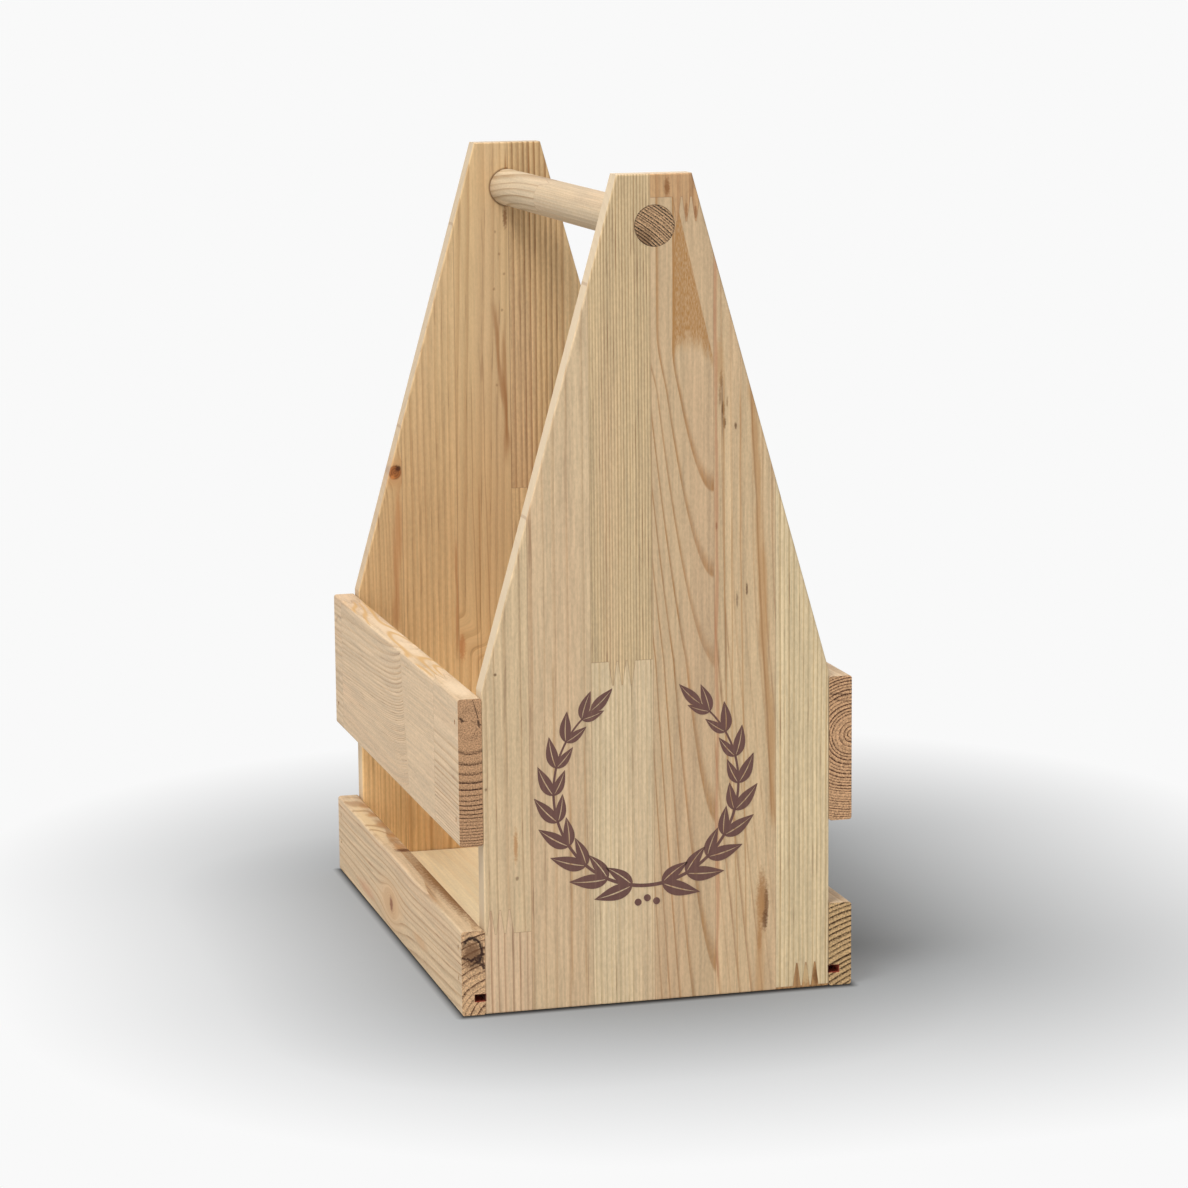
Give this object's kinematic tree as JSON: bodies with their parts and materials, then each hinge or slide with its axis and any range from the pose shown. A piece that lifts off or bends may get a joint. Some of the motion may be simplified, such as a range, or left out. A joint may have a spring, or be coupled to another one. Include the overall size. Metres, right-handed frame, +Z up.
{
  "type": "bottle caddy",
  "caption": "Open wooden bottle carrier with tapered end panels, slatted sides, a grooved-in bottom board and a round carrying handle.",
  "frame": {"origin": "centre of the footprint, on the floor that the caddy stands on", "axes": "+Z up, +Y along the handle from the front panel to the rear panel, +X to the right of the front panel"},
  "size_m": [0.17, 0.26, 0.346],
  "materials": {
    "front_stave_1_lower": "sanded, untreated",
    "front_stave_1_upper": "sanded, untreated",
    "front_stave_2": "sanded, untreated",
    "front_stave_3_lower": "sanded, untreated",
    "front_stave_3_upper": "sanded, untreated",
    "front_stave_4_lower": "sanded, untreated",
    "front_stave_4_upper": "sanded, untreated",
    "front_stave_5": "sanded, untreated",
    "front_stave_6_lower": "sanded, untreated",
    "front_stave_6_upper": "sanded, untreated",
    "rear_stave_1": "sanded, untreated",
    "rear_stave_2": "sanded, untreated",
    "rear_stave_3": "sanded, untreated",
    "rear_stave_4_lower": "sanded, untreated",
    "rear_stave_4_upper": "sanded, untreated",
    "rear_stave_5": "sanded, untreated",
    "rear_stave_6": "sanded, untreated",
    "upper_left_slat_front": "sanded, untreated",
    "upper_left_slat_middle": "sanded, untreated",
    "upper_left_slat_rear": "sanded, untreated",
    "upper_right_slat_front": "sanded, untreated",
    "upper_right_slat_middle": "sanded, untreated",
    "upper_right_slat_rear": "sanded, untreated",
    "lower_left_slat": "sanded, untreated",
    "lower_right_slat": "sanded, untreated",
    "handle_front": "sanded, untreated",
    "handle_rear": "sanded, untreated",
    "bottom_board": "sanded, untreated",
    "brads_front_left": "plain",
    "brads_front_right": "plain",
    "brads_rear_left": "plain",
    "brads_rear_right": "plain"
  },
  "bodies": {
    "root": {"front_stave_1_lower": "front_stave_1_lower", "front_stave_1_upper": "front_stave_1_upper", "front_stave_2": "front_stave_2", "front_stave_3_lower": "front_stave_3_lower", "front_stave_3_upper": "front_stave_3_upper", "front_stave_4_lower": "front_stave_4_lower", "front_stave_4_upper": "front_stave_4_upper", "front_stave_5": "front_stave_5", "front_stave_6_lower": "front_stave_6_lower", "front_stave_6_upper": "front_stave_6_upper", "rear_stave_1": "rear_stave_1", "rear_stave_2": "rear_stave_2", "rear_stave_3": "rear_stave_3", "rear_stave_4_lower": "rear_stave_4_lower", "rear_stave_4_upper": "rear_stave_4_upper", "rear_stave_5": "rear_stave_5", "rear_stave_6": "rear_stave_6", "upper_left_slat_front": "upper_left_slat_front", "upper_left_slat_middle": "upper_left_slat_middle", "upper_left_slat_rear": "upper_left_slat_rear", "upper_right_slat_front": "upper_right_slat_front", "upper_right_slat_middle": "upper_right_slat_middle", "upper_right_slat_rear": "upper_right_slat_rear", "lower_left_slat": "lower_left_slat", "lower_right_slat": "lower_right_slat", "handle_front": "handle_front", "handle_rear": "handle_rear", "bottom_board": "bottom_board", "brads_front_left": "brads_front_left", "brads_front_right": "brads_front_right", "brads_rear_left": "brads_rear_left", "brads_rear_right": "brads_rear_right"}
  },
  "joints": []
}
